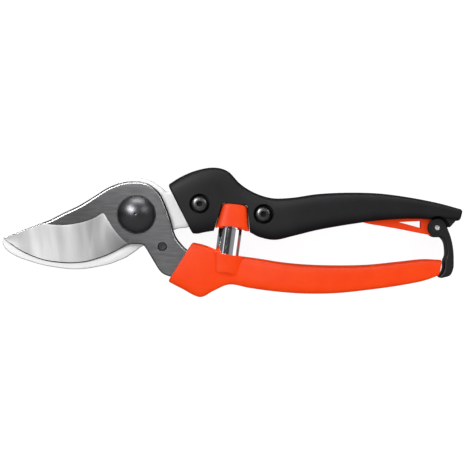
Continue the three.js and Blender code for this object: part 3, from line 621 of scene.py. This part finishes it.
# %% Blade surface
def cutting_blade(stations=420, facet_wide=0.85, round_wide=0.34, steep=42.0, micro_wide=0.45):
    """Section, from the spine round to the back: the wall, a facet at `steep` degrees, a rounded
    corner that turns evenly from that to level, the flat, the bevel as a straight fall with a
    slight hollow, a narrow steeper bevel at the very edge, the standing edge, the flat back.
    Near the hub the fall eases in as a power of the distance, as the wheel lifted off there."""
    t = np.linspace(0, 1, stations)
    laid = rail(blade_stations, t)
    spine, line, edge = laid[:, 0:2], laid[:, 2:4], laid[:, 4:6]
    line_height = np.minimum(laid[:, 6:7], BLADE)
    edge_height = np.clip(laid[:, 7:8], EDGE, HEEL)
    flat_width = np.linalg.norm(line - spine, axis=1, keepdims=True)
    toward_line = (line - spine) / np.maximum(flat_width, 1e-6)
    scale = np.minimum(1, 0.8 * flat_width / (facet_wide + round_wide))
    slope = math.radians(steep)
    turn = slope * (1 - np.linspace(0, 1, 7))
    run = (math.sin(slope) - np.sin(turn)) / math.sin(slope)
    rise = (np.cos(turn) - math.cos(slope)) / math.sin(slope)
    corner = [(0.0, 0.0)] + [(facet_wide + round_wide * x, facet_wide * math.tan(slope) + round_wide * z)
                             for x, z in zip(run, rise)]
    deepest = corner[-1][1]
    fall = line_height - edge_height
    ground = laid[:, 0:1] < 5.5
    bevel_width = np.linalg.norm(edge - line, axis=1, keepdims=True)
    micro = np.minimum(micro_wide, 0.1 * bevel_width) / np.maximum(bevel_width, 1e-6)
    lift = np.clip((line[:, 0:1] + 20.0) / 6.0, 0, 1) * ground
    micro_height = np.where(ground, np.minimum(0.45, 0.2 * fall), 0)
    flat_share = np.linspace(0, 1, 10)[1:]
    bevel_share = np.linspace(0, 1, 20)[1:]
    back_share = np.linspace(0, 1, 10)[:-1]
    columns = []
    for x, z in corner:
        columns.append(np.hstack([spine + toward_line * scale * x, line_height - scale * (deepest - z)]))
    for share in flat_share:
        start = scale * corner[-1][0]
        columns.append(np.hstack([spine + toward_line * (start + (flat_width - start) * share), line_height]))
    for share in bevel_share:
        hollow = 0.12 * np.sin(np.pi * share) * ground * (1 - lift)
        height = line_height - (fall - micro_height) * share ** (1 + 0.35 * lift) - hollow
        columns.append(np.hstack([line + (edge - line) * (1 - micro) * share, height]))
    columns.append(np.hstack([edge, edge_height]))
    for share in back_share:
        columns.append(np.hstack([edge + (spine - edge) * share, np.zeros_like(line_height)]))
    columns.append(np.hstack([spine, np.zeros_like(line_height)]))
    rows = np.stack(columns, axis=1)
    rows[..., 2] += blade_rear
    flat_kind, bevel_kind, bright_kind, wall_kind = 0, 1, 2, 3
    kinds = np.array([wall_kind] + [bright_kind] * (len(corner) - 2) + [flat_kind] * len(flat_share)
                     + [bevel_kind] * len(bevel_share) + [wall_kind] * (len(back_share) + 3))
    heel = [wall_kind if kind == bevel_kind else kind for kind in kinds]
    finish_map = np.where(ground[1:], kinds, heel)
    return skin("cutting_blade_ground", rows, "lower_half",
                [blade_flat, blade_bevel, blade_chamfer, blade_wall], finish_map, sharp=24,
                node="cutting_blade")


blade = cutting_blade()
stop_x, stop_y = node_centre("stop_pin")[:2]
carve(blade, [drilled(stop_x, stop_y, 2.02, blade_rear - 1, blade_front, edge=0.16)], sharp=24)

# %% [markdown]
# ## The counter-blade
# The hook that carries the branch is a plain plate with its edges just broken. Two rails are
# enough: the concave inner edge that continues over the hub, and the outer edge.

# %% Counter-blade
counter_stations = np.array([
    [-62.0, -10.9, -62.3, -11.6],
    [-60.2, -11.7, -62.6, -13.2],
    [-57.2, -12.9, -61.1, -16.3],
    [-52.5, -14.6, -56.7, -19.4],
    [-44.5, -17.4, -49.5, -22.1],
    [-36.0, -19.2, -41.5, -24.2],
    [-27.0, -19.0, -31.1, -25.6],
    [-20.0, -16.4, -24.2, -25.5],
    [-15.4, -11.0, -17.5, -24.4],
    [-14.0, -4.0, -12.4, -23.2],
    [-14.4, 5.0, -8.8, -21.8],
    [-11.6, 11.6, -5.4, -20.4],
    [-6.0, 15.9, -2.6, -18.6],
    [0.0, 17.0, -0.3, -17.0],
    [6.6, 15.6, 2.3, -15.1],
    [11.4, 12.6, 8.4, -12.8],
    [14.6, 10.4, 17.9, -7.1],
    [20.0, 10.6, 24.0, -6.0],
    [30.0, 11.4, 30.0, -3.2],
    [38.0, 11.8, 37.0, 4.6],
    [45.0, 11.0, 46.0, 5.0],
    [51.0, 8.2, 52.2, 3.8],
    [57.0, 5.2, 54.6, -0.5],
    [63.5, 3.4, 57.0, -4.4],
    [65.6, 0.0, 63.5, -4.0],
])


def plate_between(stations, low, high, count, broken=0.3, across=12):
    """A flat plate between two rails: a rectangle whose four edges are broken by small quarter
    rounds, stretched across from the upper to the lower rail at each of `count` places."""
    laid = rail(stations, np.linspace(0, 1, count))
    upper, lower = laid[:, 0:2], laid[:, 2:4]
    width = np.linalg.norm(upper - lower, axis=1, keepdims=True)
    step = (lower - upper) / np.maximum(width, 1e-6)
    radius = np.minimum(broken, 0.3 * width)
    bend = np.linspace(0, np.pi / 2, 4)
    shares = np.linspace(0, 1, across)[1:-1]

    def rounding(rim, inward, angle, face, side):
        plan = rim + inward * radius * (1 - np.cos(angle))
        return np.hstack([plan, face - side * radius * (1 - np.sin(angle))])

    def over_face(share, face):
        return np.hstack([upper + step * (radius + (width - 2 * radius) * share), 0 * width + face])

    columns = [rounding(upper, step, angle, high, 1) for angle in bend]
    columns += [over_face(share, high) for share in shares]
    columns += [rounding(lower, -step, angle, high, 1) for angle in bend[::-1]]
    columns += [rounding(lower, -step, angle, low, -1) for angle in bend]
    columns += [over_face(share, low) for share in shares[::-1]]
    columns += [rounding(upper, step, angle, low, -1) for angle in bend[::-1]]
    return np.stack(columns, axis=1)


# the broken edges (finish 1) take the darker plating as painted shade
face_then_edges = [1] * 3 + [0] * 11 + [1] * 4
counter_rows = plate_between(counter_stations, counter_rear, counter_front, 360, broken=0.35)
skin("counter_blade_ground", counter_rows, "upper_half", [counter_finish, counter_edge_painted_shade],
     face_then_edges * 2, sharp=24, node="counter_blade")

# %% [markdown]
# ## The pivot and the fixings
# The pivot is a big domed bolt on a washer, with a spring washer and a nut behind. The dome is
# turned, so it keeps fine rings and a centre mark. The handle screws are button heads with
# hexagon sockets, sunk in the cover.

# %% Pivot bolt
dome_low, dome_high = node_box("pivot_bolt")
washer_top = node_box("pivot_washer")[1][2]


def dome_profile(radius=8.5, rim=0.6, dimple=0.55, steps=26):
    """Up the rim, over a dome whose height falls with the square of the radius, and down into a
    small centre-drilled dimple."""
    base = washer_top + 0.05
    crown = dome_high[2]
    share = np.linspace(0, 1, steps)
    reach = radius - 0.12 - (radius - 0.12 - dimple) * share
    height = base + rim + (crown - base - rim) * (1 - (reach / radius) ** 2.2)
    return ([[4.0, base], [radius - 0.1, base]] + arc(radius - 0.3, base + rim - 0.25, 0.3, 0, 55, 4)
            + np.column_stack([reach, height]).tolist() + [[0.30, crown - 0.09], [0.0, crown - 0.14]])


def pivot_bolt():
    shank = [[0.0, dome_low[2]], [3.7, dome_low[2]], [4.0, dome_low[2] + 0.3]]
    rows = turned(shank + dome_profile(), pivot[0], pivot[1], 128)
    return skin("pivot_bolt_turned", rows, "upper_half", [dome_black], sharp=35,
                node="pivot_bolt")


pivot_bolt()


# %% [markdown]
# The washers and nuts are closed rings, so they have no ends to fan over. The stop pin is pressed
# through the blade's tang and ground level with it, and the latch turns on a plain zinc pin.

# %% Washers, nuts and pins
def ring_profile(inner, outer, low, high, edge=0.15):
    """A flat ring with its outer edges broken, as a closed loop."""
    return [[inner, low], [outer - edge, low], [outer, low + edge], [outer, high - edge],
            [outer - edge, high], [inner, high], [inner, low]]


def ring(name, node, inner, outer, finish_used, slot, body="upper_half", hexagons=(), count=96):
    """A turned ring that fills its CAD node's height. The loop closes on itself, so its two ends
    need no fans: the first and last rows are the same circle and merge."""
    low, high = node_box(node)
    centre = (low + high) / 2
    rows = turned(ring_profile(inner, outer, low[2], high[2]), centre[0], centre[1], count, hexagons)
    return open_ring(name, rows, body, finish_used, node)


def open_ring(name, rows, body, finish_used, node):
    """A skin over rows whose last row meets the first, with no end fans."""
    count, width = rows.shape[:2]
    i, j = np.meshgrid(np.arange(count - 1), np.arange(width), indexing="ij")
    a = (i * width + j).ravel()
    b = (i * width + (j + 1) % width).ravel()
    mesh = bpy.data.meshes.new(name)
    quads = np.column_stack([a, b, b + width, a + width])
    mesh.from_pydata((rows.reshape(-1, 3) * MM).tolist(), [], quads.tolist())
    return settle(name, mesh, body, [finish_used], 30, node)


ring("pivot_washer_turned", "pivot_washer", 4.1, 8.95, dome_black, "dark_steel")
ring("pivot_spring_washer_turned", "pivot_spring_washer", 4.2, 7.6, zinc, "plain_steel")


def hex_nut(name, node, flats, bore):
    """A nut: its corners are taken down by a round chamfer, so each outer row is the smaller of
    a hexagon and a circle."""
    low, high = node_box(node)
    centre = (low + high) / 2
    angle = np.linspace(0, 2 * np.pi, 96, endpoint=False)
    side = hexagon(angle, flats)
    corner = flats / math.sqrt(3)
    drop = (corner - flats / 2) * 0.55
    profile = [(bore, low[2], False), (flats / 2 * 0.96, low[2], False), (corner, low[2] + drop, True),
               (corner, high[2] - drop, True), (flats / 2 * 0.96, high[2], False), (bore, high[2], False),
               (bore, low[2], False)]
    rows = []
    for reach, height, sided in profile:
        radius = np.minimum(side, reach) if sided else np.full(len(angle), reach)
        rows.append(np.column_stack([centre[0] + radius * np.cos(angle), centre[1] + radius * np.sin(angle),
                                     np.full(len(angle), height)]))
    return open_ring(name, np.array(rows), "upper_half", zinc, node)


hex_nut("pivot_nut_cut", "pivot_nut", 13.0, 4.1)
hex_nut("front_nut_cut", "front_screw_nut", 7.0, 2.1)
hex_nut("rear_nut_cut", "rear_screw_nut", 7.0, 2.1)


def pin(name, node, radius, body, finish_used, edge=0.2):
    """A plain pin with both ends' edges broken and a shallow centre mark in front."""
    low, high = node_box(node)
    centre = (low + high) / 2
    profile = [[0, low[2]], [radius - edge, low[2]], [radius, low[2] + edge], [radius, high[2] - edge],
               [radius - edge, high[2]], [radius * 0.5, high[2] - 0.01], [radius * 0.3, high[2] - 0.03],
               [0, high[2] - 0.035]]
    rows = turned(profile, centre[0], centre[1], 64)
    return skin(name, rows, body, [finish_used], sharp=30, node=node)


pin("stop_pin_turned", "stop_pin", 1.98, "lower_half", dome_black, edge=0.3)
pin("latch_pin_turned", "latch_pin", 1.2, "upper_half", zinc)


# %% [markdown]
# The two handle screws are oiled black button heads. The dark hexagon in the middle is most of
# what is seen of them, so the socket gets a nearly black finish of its own: painted shade for the
# little light that reaches its walls and floor.

# %% Handle screws
def handle_screw(name, node):
    """A button head: a low round cap over a short rim, with a hexagon socket sunk in it, on a
    plain shank. The socket's rows are hexagons, and its walls and floor take a nearly black painted shade."""
    low, high = node_box(node)
    x, y = (low[:2] + high[:2]) / 2
    seat = high[2] - 2.2
    share = np.linspace(0, 1, 10)
    cap = np.column_stack([3.76 - 1.8 * share, seat + 1.45 + 0.74 * np.sin(share * np.pi / 2)])
    shank = [[0, low[2]], [1.8, low[2]], [2.0, low[2] + 0.2]]
    head = [[2.0, seat], [3.7, seat], [3.8, seat + 0.1], [3.8, seat + 1.3]] + cap.tolist()
    socket = [[1.42, high[2]], [1.27, high[2] - 0.12], [1.25, high[2] - 1.35], [0, high[2] - 1.5]]
    profile = shank + head + socket
    sided = (len(profile) - 3, len(profile) - 2)
    # the socket's bands take the nearly black painted shade
    shaded_from = len(profile) - 3
    rows = turned(profile, x, y, 96, sided)
    bands = np.array([0] * shaded_from + [1] * (len(profile) - 1 - shaded_from))
    return skin(name, rows, "upper_half", [screw_black, socket_painted_shade], bands[:, None], sharp=32,
                node=node)


handle_screw("front_screw_turned", "front_handle_screw")
handle_screw("rear_screw_turned", "rear_handle_screw")

# %% [markdown]
# ## The handles
# A handle is a rounded slab that swells and bends. The section is a superellipse, which is a
# rectangle with rounded edges, stretched between an upper and a lower rail and made thicker or
# thinner along the way. Its points are spread evenly round the section, so flats and rounded
# edges both get their share.

# %% Handle body
def even_section(count, roundness, aspect=1.6):
    """Superellipse points spaced evenly: cosines and sines raised to `roundness`, resampled by
    the length of the outline of a section that is `aspect` times as wide as thick."""
    angle = np.linspace(0, 2 * np.pi, 4001)
    across = np.sign(np.cos(angle)) * np.abs(np.cos(angle)) ** roundness
    height = np.sign(np.sin(angle)) * np.abs(np.sin(angle)) ** roundness
    length = np.concatenate([[0], np.cumsum(np.hypot(np.diff(across) * aspect, np.diff(height)))])
    place = np.linspace(0, length[-1], count, endpoint=False)
    return np.interp(place, length, across), np.interp(place, length, height)


def handle_rows(stations, count=220, around=96, roundness=0.40, face=0.8, tail=1.6):
    """Rows of a handle. Each is the section stretched from the lower to the upper rail, and both
    ends are drawn in by quarter rounds of radius `face` and `tail`."""
    stations = np.asarray(stations, float)
    length = np.abs(stations[-1, 0] - stations[0, 0])
    bend = np.linspace(0, np.pi / 2, 7)
    front = np.array([face * (1 - np.sin(bend)), face * (1 - np.cos(bend))])
    back = np.array([tail * (1 - np.sin(bend)), tail * (1 - np.cos(bend))])
    t_front = front[1] / length
    t_back = 1 - back[1][::-1] / length
    t = np.concatenate([t_front, np.linspace(t_front[-1], t_back[0], count)[1:-1], t_back])
    shrink = np.concatenate([front[0], np.zeros(count - 2), back[0][::-1]])[:, None]
    laid = rail(stations, t)
    upper, lower, half = laid[:, 0:2], laid[:, 2:4], laid[:, 4:5] - shrink
    centre, reach = (upper + lower) / 2, (upper - lower) / 2
    size = np.linalg.norm(reach, axis=1, keepdims=True)
    reach = reach / size * (size - shrink)
    across, height = even_section(around, roundness)
    plan = centre[:, None, :] + reach[:, None, :] * across[None, :, None]
    rise = middle + half * height[None, :]
    return np.concatenate([plan, rise[..., None]], axis=2)


upper_stations = [
    [14.8, 13.6, 26.2, -9.0, 7.0], [20.3, 17.1, 28.6, -9.1, 7.4], [27.5, 20.2, 32.0, -8.4, 7.6],
    [36.0, 21.7, 38.0, -7.6, 7.4], [42.6, 20.0, 45.0, -7.6, 7.2], [48.6, 14.0, 51.6, -8.0, 7.4],
    [55.0, 10.0, 57.4, -10.7, 7.9], [63.0, 7.5, 64.6, -12.0, 8.4], [72.0, 7.6, 73.0, -10.2, 8.8],
    [84.0, 9.3, 84.0, -7.5, 8.85], [98.0, 10.0, 98.0, -5.0, 8.7], [113.0, 9.6, 112.0, -3.1, 8.4],
    [128.0, 7.6, 127.0, -2.2, 8.0], [141.0, 5.0, 140.0, -2.6, 7.6], [151.6, 2.1, 150.2, -3.2, 7.2],
]
lower_stations = [
    [26.2, -13.1, 14.8, -31.3, 6.6], [31.9, -14.4, 21.3, -34.7, 6.9], [37.5, -16.6, 29.8, -38.6, 6.9],
    [43.0, -18.7, 36.2, -35.6, 6.5], [49.0, -19.6, 43.2, -32.8, 6.4], [57.6, -20.8, 53.0, -34.4, 7.0],
    [67.0, -22.3, 64.0, -35.9, 7.9], [78.0, -23.4, 77.0, -36.9, 8.6], [92.0, -23.9, 92.0, -36.8, 8.85],
    [108.0, -23.6, 108.0, -35.2, 8.6], [123.0, -22.1, 123.0, -33.1, 8.0], [134.0, -21.0, 134.0, -30.9, 7.3],
    [142.0, -21.3, 140.6, -28.5, 6.6],
]

# %% [markdown]
# ## The upper grip
# The black cover wraps the orange core. Its face is sunk for the two screws, opened for the
# spring housing, and cut back at the tail in an arc round the latch's boss.

# %% Upper grip
screw_places = [node_centre("front_handle_screw"), node_centre("rear_handle_screw")]
cone_top, cone_mouth = np.array([46.0, 4.6]), np.array([44.7, -7.2])
cone_axis = (cone_mouth - cone_top) / np.linalg.norm(cone_mouth - cone_top)
cone_side = np.array([-cone_axis[1], cone_axis[0]])
CONE_WIDE, CONE_HIGH, CONE_ROUNDNESS = (6.0, 8.05), (8.1, 8.7), 0.5
SCREW_SEAT, NUT_SEAT, RECESS = 13.2, 3.6, 4.55
WEB_HALF = 3.0


def screw_recess(place, face):
    """A round pocket with a flared rim, from the seat up through the face."""
    return drilled(place[0], place[1], RECESS, SCREW_SEAT, face, edge=0.22)


def housing_window(gap=0.25, corner=1.1, past=2.5):
    """Outline of the opening over the housing: its own outline and a small gap all round, with
    the two upper corners rounded."""
    length = np.linalg.norm(cone_mouth - cone_top)
    slope = (CONE_WIDE[1] - CONE_WIDE[0]) / length
    bend = np.linspace(0, np.pi / 2, 7)
    reach = np.concatenate([(corner + gap) * (1 - np.sin(bend[::-1])) - gap, [length + past]])
    wide = np.concatenate([CONE_WIDE[0] + gap - (corner + gap) * (1 - np.cos(bend[::-1])),
                           [CONE_WIDE[1] + gap + slope * past]])
    left = cone_top + cone_axis * reach[:, None] + cone_side * wide[:, None]
    right = cone_top + cone_axis * reach[:, None] - cone_side * wide[:, None]
    return np.concatenate([left, right[::-1]])


def upper_grip():
    rows = handle_rows(upper_stations, face=1.4, tail=1.0)
    grip = skin("upper_grip_moulded", rows, "upper_half", [black_rubber], sharp=40,
                node="upper_grip")
    wedge = [[142.6, -1.0], [145.5, -6.1], [148.0, -3.3], [149.0, -1.0]]
    carve(grip, [cutter(prism(wedge, middle - 6.6, middle + 6.6))], "UNION")
    cuts = [screw_recess(place, face) for place, face in zip(screw_places, (16.25, 16.70))]
    cuts += [drilled(*place[:2], RECESS, -3, NUT_SEAT - 2) for place in screw_places]
    cuts.append(cutter(prism(housing_window(), -2, 22)))
    for low, high in ((middle + WEB_HALF + 0.3, 25), (-6, middle - WEB_HALF - 2.3)):
        cuts.append(drilled(*latch_pin_place[:2], 5.5, low, high))
    return carve(grip, cuts, sharp=38)


grip = upper_grip()
print("grip:", len(grip.data.polygons), "faces after carving")

# %% [markdown]
# ## The spring housing and the tail web
# Two parts of the orange core show: the tapered cup that takes the spring's upper end, and the
# slotted web under the tail that carries the latch pin. The cup is one skin that runs down the
# outside, round the lip and back up the bore; its lip is scalloped so that it arches in front.
# The spring stands a little to the left of the cup's middle, so the bore leans that way.

# %% Spring housing
LEAN_TOP, LEAN_MOUTH = 0.34, 0.67


def spring_housing(bore=(6.45, 5.8), soft=1.2, lip=0.3, arch=1.5, around=160):
    """Rows from the closed end to the lip outside, and back up the bore inside. The lip is drawn
    back by the square of the height direction, which arches it in front and behind, and the pull
    fades towards the closed end with the fourth power of the distance. The bore's middle leans
    by LEAN_TOP at the closed end and by LEAN_MOUTH at the lip."""
    length = np.linalg.norm(cone_mouth - cone_top)
    angle = np.linspace(0, 2 * np.pi, around, endpoint=False)
    bend = np.linspace(0, np.pi / 2, 8)
    outside = [(soft * (1 - math.cos(a)), -soft * (1 - math.sin(a))) for a in bend]
    outside += [(distance, 0.0) for distance in np.linspace(soft, length - lip, 14)[1:]]

    def loop(distance, wide, high, roundness, lean=0.0):
        across, height = boxed(angle, roundness)
        run = distance - arch * (distance / length) ** 4 * height ** 2
        plan = cone_top + cone_axis * run[:, None] + cone_side * (wide * across - lean)[:, None]
        return np.column_stack([plan, middle + high * height])

    rows = []
    for distance, trim in outside:
        share = distance / length
        wide = CONE_WIDE[0] + (CONE_WIDE[1] - CONE_WIDE[0]) * share + trim
        high = CONE_HIGH[0] + (CONE_HIGH[1] - CONE_HIGH[0]) * share + trim
        rows.append(loop(distance, wide, high, CONE_ROUNDNESS))
    rows.append(loop(length, CONE_WIDE[1] - lip, CONE_HIGH[1] - lip, CONE_ROUNDNESS))
    rows.append(loop(length, bore[0] + lip, bore[0] + lip, 1.0, LEAN_MOUTH))
    for share in (0.97, 0.75, 0.5, 0.25):
        radius = bore[1] + (bore[0] - bore[1]) * share
        lean = LEAN_TOP + (LEAN_MOUTH - LEAN_TOP) * share
        rows.append(loop(length * share, radius, radius, 1.0, lean))
    return skin("spring_housing_moulded", np.array(rows), "upper_half", [orange], sharp=35,
                node="upper_handle_core")


spring_housing()

# %% [markdown]
# The web under the tail is a plain plate that narrows to nothing towards the front. A slim
# window lightens it. The latch's fork straddles its rear end, on the cross pin.

# %% Tail web
web_stations = np.array([
    [100.0, 2.0, 100.0, -1.6], [107.0, 1.9, 107.0, -4.1], [115.0, 1.7, 115.0, -5.55],
    [123.0, 1.5, 123.0, -6.95], [130.0, 1.3, 130.0, -8.35], [135.0, 1.1, 136.0, -9.5],
    [138.4, 0.2, 139.8, -10.2], [140.4, -1.6, 142.4, -8.8], [141.8, -3.2, 143.0, -5.6],
])


def tail_web():
    rows = plate_between(web_stations, middle - WEB_HALF, middle + WEB_HALF, 90, broken=0.5)
    web = skin("tail_web_moulded", rows, "upper_half", [orange], sharp=35)
    window = [[122.3, -3.7], [132.6, -3.2], [132.6, -6.5]]
    return carve(web, [cutter(prism(window, middle - 6, middle + 6))], sharp=35)


tail_web()

# %% [markdown]
# ## The lower handle
# One orange moulding on the blade's tang. Where the handle is slim, a half-round cup stands
# proud on both faces to hold the spring's wide end, so it is joined on and then bored.

# %% Lower handle
SEAT_BORE = 6.35
SPRING_BOTTOM, SPRING_TOP = np.array([41.5, -25.6]), np.array([45.3, 2.0])
spring_axis = (SPRING_TOP - SPRING_BOTTOM) / np.linalg.norm(SPRING_TOP - SPRING_BOTTOM)


def lower_handle():
    rows = handle_rows(lower_stations, face=1.2, tail=0.6)
    handle = skin("lower_handle_moulded", rows, "lower_half", [orange], sharp=40,
                  node="lower_handle")
    cup = tapered([41.5, -28.2], [43.0, -18.8], (6.1, 7.6), (7.6, 7.9), 160, 12, 1.3, CONE_ROUNDNESS)
    carve(handle, [cutter(cup)], "UNION")
    bore = tapered(SPRING_BOTTOM - spring_axis * 0.4, SPRING_BOTTOM + spring_axis * 20,
                   (SEAT_BORE, SEAT_BORE), (SEAT_BORE, SEAT_BORE))
    return carve(handle, [cutter(bore)], sharp=38)


lower = lower_handle()
print("lower handle:", len(lower.data.polygons), "faces after carving")

# %% [markdown]
# ## The volute spring
# A flat strip is wound on itself so that each turn stands a little further out of the one
# around it. When the handles open, the turns slide along one another and the strip itself never
# stretches.

# %% Volute spring
def volute_spring(turns=5, pitch=0.85, outer=6.0, thick=0.6, wide=19.0, per_turn=120):
    """A rounded strip section carried along a conical winding: the radius falls and the height
    rises evenly with the angle."""
    length = np.linalg.norm(SPRING_TOP - SPRING_BOTTOM)
    side = np.array([spring_axis[1], -spring_axis[0], 0])
    up = np.array([0, 0, 1.0])
    along = np.array([*spring_axis, 0])
    turn = np.linspace(0, turns, turns * per_turn + 1)
    angle = 2 * np.pi * turn + 0.6
    outward = side * np.cos(angle)[:, None] + up * np.sin(angle)[:, None]
    base = turn / turns * (length - wide)
    radius = outer - pitch * turn
    edge = thick * 0.3
    run = np.linspace(edge, wide - edge, 15)
    section = ([(0, height) for height in run] + [(-edge, wide), (-thick + edge, wide)]
               + [(-thick, height) for height in run[::-1]] + [(-thick + edge, 0), (-edge, 0)])
    origin = np.array([*SPRING_BOTTOM, middle])
    rows = np.stack([origin + outward * (radius + depth)[:, None] + along * (base + height)[:, None]
                     for depth, height in section], axis=1)
    spring = skin("volute_spring_wound", rows, None, [chrome], sharp=30)
    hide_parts("volute_spring")
    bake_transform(spring)
    points = np.empty(len(spring.data.vertices) * 3, np.float32)
    spring.data.vertices.foreach_get("co", points)
    points = points.reshape(-1, 3).astype(float) / MM - origin
    return spring


volute_spring()

# %% [markdown]
# ## The latch
# A black fork swings on the cross pin. Its boss is a disc with a raised rim, its arm bends down
# round the lower handle's tail, and its toe hooks under the corner.

# %% Latch
arm_stations = np.array([
    [143.9, -4.9, 138.6, -8.6], [144.8, -7.4, 140.2, -9.6], [145.7, -9.8, 142.2, -11.0],
    [146.5, -12.6, 143.6, -13.0], [147.1, -16.0, 144.2, -16.0], [147.35, -19.0, 144.2, -19.2],
    [147.4, -21.2, 143.4, -21.4], [147.2, -25.2, 143.2, -25.0], [145.7, -28.4, 142.4, -27.3],
    [141.8, -29.7, 141.0, -28.9],
])


def latch():
    low, high = node_box("latch")
    rows = plate_between(arm_stations, low[2], high[2], 120, broken=0.5, across=6)
    fork = skin("latch_moulded", rows, "latch_fork", [black_nylon], sharp=40, node="latch")
    pin_x, pin_y = latch_pin_place[:2]
    boss = [[0, low[2]], [4.0, low[2]], [4.4, low[2] + 0.4], [4.4, high[2] - 0.4], [4.0, high[2]],
            [3.3, high[2]], [3.1, high[2] - 0.25], [0, high[2] - 0.25]]
    carve(fork, [cutter(turned(boss, pin_x, pin_y, 96))], "UNION")
    slot_low, slot_high = middle - WEB_HALF - 0.3, middle + WEB_HALF + 0.3
    slot_cut = [[0, slot_low], [5.3, slot_low], [5.3, slot_high], [0, slot_high]]
    hole = [[0, 0], [1.25, 0], [1.25, 20], [0, 20]]
    return carve(fork, [cutter(turned(p, pin_x, pin_y, 96)) for p in (slot_cut, hole)], sharp=35)


latch()
